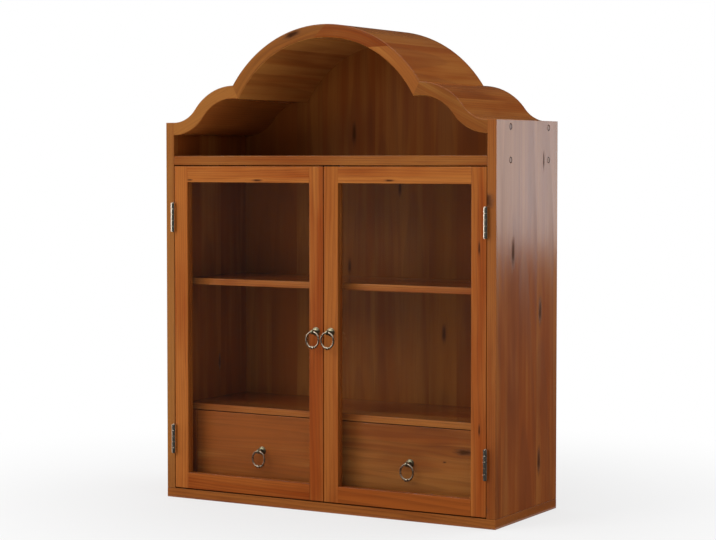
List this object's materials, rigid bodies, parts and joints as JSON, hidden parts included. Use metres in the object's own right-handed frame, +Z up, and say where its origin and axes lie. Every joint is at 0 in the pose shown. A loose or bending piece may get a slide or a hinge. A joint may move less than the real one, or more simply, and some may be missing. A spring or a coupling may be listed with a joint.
{
  "type": "wall display cabinet",
  "caption": "Wall display cabinet with an arched crown over an open niche, glazed doors on butt hinges, inner shelves and drawers with ring pulls.",
  "frame": {"origin": "under the middle of the box that holds the cabinet, at the bottom board's lower face", "axes": "+X to the right as seen from the front, +Y to the wall, +Z up; the doors face -Y"},
  "size_m": [0.8, 0.3122, 1.02],
  "materials": {
    "outer_wood": "satin lacquered pine, reddish brown",
    "inner_wood": "satin lacquered pine, reddish brown, in shade",
    "drawer_wood": "plain sanded pine",
    "glass": "clear float glass",
    "hinge_metal": "aged, polished by use",
    "pull_metal": "antique pewter with dark recesses",
    "dark_steel": "dark satin"
  },
  "bodies": {
    "carcase": {"bottom_board": "outer_wood", "left_side": "outer_wood", "right_side": "outer_wood", "top_shelf": "outer_wood", "middle_shelf": "inner_wood", "lower_shelf": "inner_wood", "drawer_divider": "inner_wood", "left_drawer_guide": "inner_wood", "right_drawer_guide": "inner_wood", "crown_arch": "outer_wood", "left_crown_shoulder": "outer_wood", "right_crown_shoulder": "outer_wood", "back_panel": "inner_wood", "left_hanger": "dark_steel", "right_hanger": "dark_steel", "magnet_catch": "dark_steel", "left_upper_hinge_side_leaf": "hinge_metal", "left_upper_hinge_pin": "hinge_metal", "left_lower_hinge_side_leaf": "hinge_metal", "left_lower_hinge_pin": "hinge_metal", "right_upper_hinge_side_leaf": "hinge_metal", "right_upper_hinge_pin": "hinge_metal", "right_lower_hinge_side_leaf": "hinge_metal", "right_lower_hinge_pin": "hinge_metal"},
    "left_door": {"left_door_hinge_stile": "outer_wood", "left_door_meeting_stile": "outer_wood", "left_door_top_rail": "outer_wood", "left_door_bottom_rail": "outer_wood", "left_door_glass": "glass", "left_door_glazing_bead": "outer_wood", "left_door_strike": "dark_steel", "left_door_pull_base": "pull_metal", "left_upper_hinge_door_leaf": "hinge_metal", "left_lower_hinge_door_leaf": "hinge_metal"},
    "left_door_ring": {"left_door_pull_ring": "pull_metal"},
    "left_drawer": {"left_drawer_front": "inner_wood", "left_drawer_bottom": "drawer_wood", "left_drawer_inner_wall": "drawer_wood", "left_drawer_outer_wall": "drawer_wood", "left_drawer_back": "drawer_wood", "left_drawer_pull_base": "pull_metal"},
    "left_drawer_ring": {"left_drawer_pull_ring": "pull_metal"},
    "right_door": {"right_door_hinge_stile": "outer_wood", "right_door_meeting_stile": "outer_wood", "right_door_top_rail": "outer_wood", "right_door_bottom_rail": "outer_wood", "right_door_glass": "glass", "right_door_glazing_bead": "outer_wood", "right_door_strike": "dark_steel", "right_door_pull_base": "pull_metal", "right_upper_hinge_door_leaf": "hinge_metal", "right_lower_hinge_door_leaf": "hinge_metal"},
    "right_door_ring": {"right_door_pull_ring": "pull_metal"},
    "right_drawer": {"right_drawer_front": "inner_wood", "right_drawer_bottom": "drawer_wood", "right_drawer_inner_wall": "drawer_wood", "right_drawer_outer_wall": "drawer_wood", "right_drawer_back": "drawer_wood", "right_drawer_pull_base": "pull_metal"},
    "right_drawer_ring": {"right_drawer_pull_ring": "pull_metal"}
  },
  "joints": [
    {"name": "left_door_swing", "type": "hinge", "parent": "carcase", "child": "left_door", "pos_m": [-0.37925, -0.14015, 0.3735], "axis": [0, 0, -1], "range_deg": [0, 180]},
    {"name": "left_door_ring_swing", "type": "hinge", "parent": "left_door", "child": "left_door_ring", "pos_m": [-0.018, -0.15065, 0.3795], "axis": [-1, 0, 0], "range_deg": [-15, 110]},
    {"name": "left_drawer_slide", "type": "slide", "parent": "carcase", "child": "left_drawer", "axis": [0, -1, 0], "range_m": [0, 0.12]},
    {"name": "left_drawer_ring_swing", "type": "hinge", "parent": "left_drawer", "child": "left_drawer_ring", "pos_m": [-0.18177, -0.10435, 0.111], "axis": [-1, 0, 0], "range_deg": [-15, 22]},
    {"name": "right_door_swing", "type": "hinge", "parent": "carcase", "child": "right_door", "pos_m": [0.37925, -0.14015, 0.3735], "axis": [0, 0, 1], "range_deg": [0, 180]},
    {"name": "right_door_ring_swing", "type": "hinge", "parent": "right_door", "child": "right_door_ring", "pos_m": [0.018, -0.15065, 0.3795], "axis": [-1, 0, 0], "range_deg": [-15, 110]},
    {"name": "right_drawer_slide", "type": "slide", "parent": "carcase", "child": "right_drawer", "axis": [0, -1, 0], "range_m": [0, 0.12]},
    {"name": "right_drawer_ring_swing", "type": "hinge", "parent": "right_drawer", "child": "right_drawer_ring", "pos_m": [0.18177, -0.10435, 0.111], "axis": [-1, 0, 0], "range_deg": [-15, 22]}
  ],
  "couplings": [
    {"joint": "left_drawer_slide", "follows": "left_door_swing", "m_per_rad": 0.038197},
    {"joint": "right_drawer_slide", "follows": "right_door_swing", "m_per_rad": 0.038197}
  ]
}
